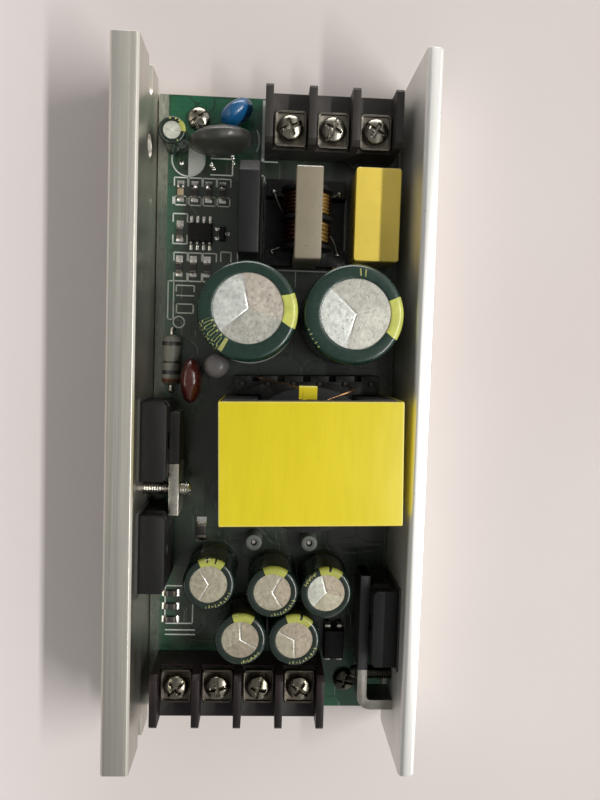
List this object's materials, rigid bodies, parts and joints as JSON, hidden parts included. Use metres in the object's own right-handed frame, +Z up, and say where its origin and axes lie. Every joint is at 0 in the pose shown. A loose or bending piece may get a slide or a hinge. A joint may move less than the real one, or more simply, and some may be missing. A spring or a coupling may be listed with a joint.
{
  "type": "open-frame power supply",
  "caption": "Open-frame switching power supply: a populated board between aluminium side plates, with barrier terminal blocks at its ends.",
  "frame": {"origin": "centre of the overall box at the plates' lower edges", "axes": "+X across the board towards the thinner plate, +Y along the board towards the input terminals, +Z up"},
  "size_m": [0.0586, 0.1336, 0.0291],
  "materials": {
    "plate_left": "lengthwise brushed",
    "plate_right": "satin",
    "board_green": "solder-mask gloss",
    "steel": "zinc-plated",
    "block_plastic": "moulded",
    "tinned": "tinned",
    "clamp_steel": "nickel-plated",
    "ferrite": "matt",
    "ferrite_light": "ground",
    "bobbin_plastic": "moulded",
    "tape_yellow": "film",
    "can_aluminium": "drawn",
    "sleeve_green": "shrunk film",
    "bead_grey": "dipped",
    "copper": "enamelled",
    "film_yellow": "moulded",
    "epoxy_black": "moulded",
    "disc_black": "dipped",
    "disc_blue": "dipped",
    "dip_brown": "dipped",
    "resistor_grey": "coated",
    "pad_grey": "sheet",
    "sleeve_black": "shrunk tube",
    "chip_body": "fired"
  },
  "bodies": {
    "root": {"heatsink_left": "plate_left", "heatsink_right": "plate_right", "circuit_board": "board_green", "board_screws": "steel", "input_terminal_body": "block_plastic", "input_terminal_contacts": "tinned", "input_terminal_clamps": "clamp_steel", "input_terminal_screws": "steel", "output_terminal_body": "block_plastic", "output_terminal_contacts": "tinned", "output_terminal_clamps": "clamp_steel", "output_terminal_screws": "steel", "transformer_core_upper": "ferrite", "transformer_core_lower": "ferrite", "transformer_bobbin": "bobbin_plastic", "transformer_winding": "tape_yellow", "transformer_tape": "tape_yellow", "transformer_pins": "tinned", "bulk_capacitor_left": "can_aluminium", "bulk_capacitor_right": "can_aluminium", "bulk_capacitor_sleeves": "sleeve_green", "output_capacitor_1": "can_aluminium", "output_capacitor_2": "can_aluminium", "output_capacitor_3": "can_aluminium", "output_capacitor_4": "can_aluminium", "output_capacitor_5": "can_aluminium", "output_capacitor_sleeves": "sleeve_green", "startup_capacitor": "can_aluminium", "startup_capacitor_sleeve": "sleeve_green", "bead_capacitor": "bead_grey", "choke_core": "ferrite_light", "choke_bobbin": "bobbin_plastic", "choke_winding_front": "copper", "choke_winding_rear": "copper", "choke_pins": "tinned", "film_capacitor": "film_yellow", "bridge_rectifier": "epoxy_black", "bridge_rectifier_leads": "tinned", "thermistor": "disc_black", "varistor": "disc_blue", "dipped_capacitor": "dip_brown", "power_resistor": "resistor_grey", "switch_transistor_upper": "epoxy_black", "switch_transistor_lower": "epoxy_black", "output_rectifier": "epoxy_black", "semiconductor_leads": "tinned", "insulating_pads": "pad_grey", "left_clamp": "clamp_steel", "left_clamp_sleeve": "sleeve_black", "right_clamp": "clamp_steel", "right_clamp_sleeve": "sleeve_black", "clamp_screws": "steel", "ferrite_beads": "ferrite_light", "bead_wires": "tinned", "controller_chip": "epoxy_black", "signal_transistor": "epoxy_black", "chip_components": "chip_body", "optocoupler": "epoxy_black"}
  },
  "joints": []
}
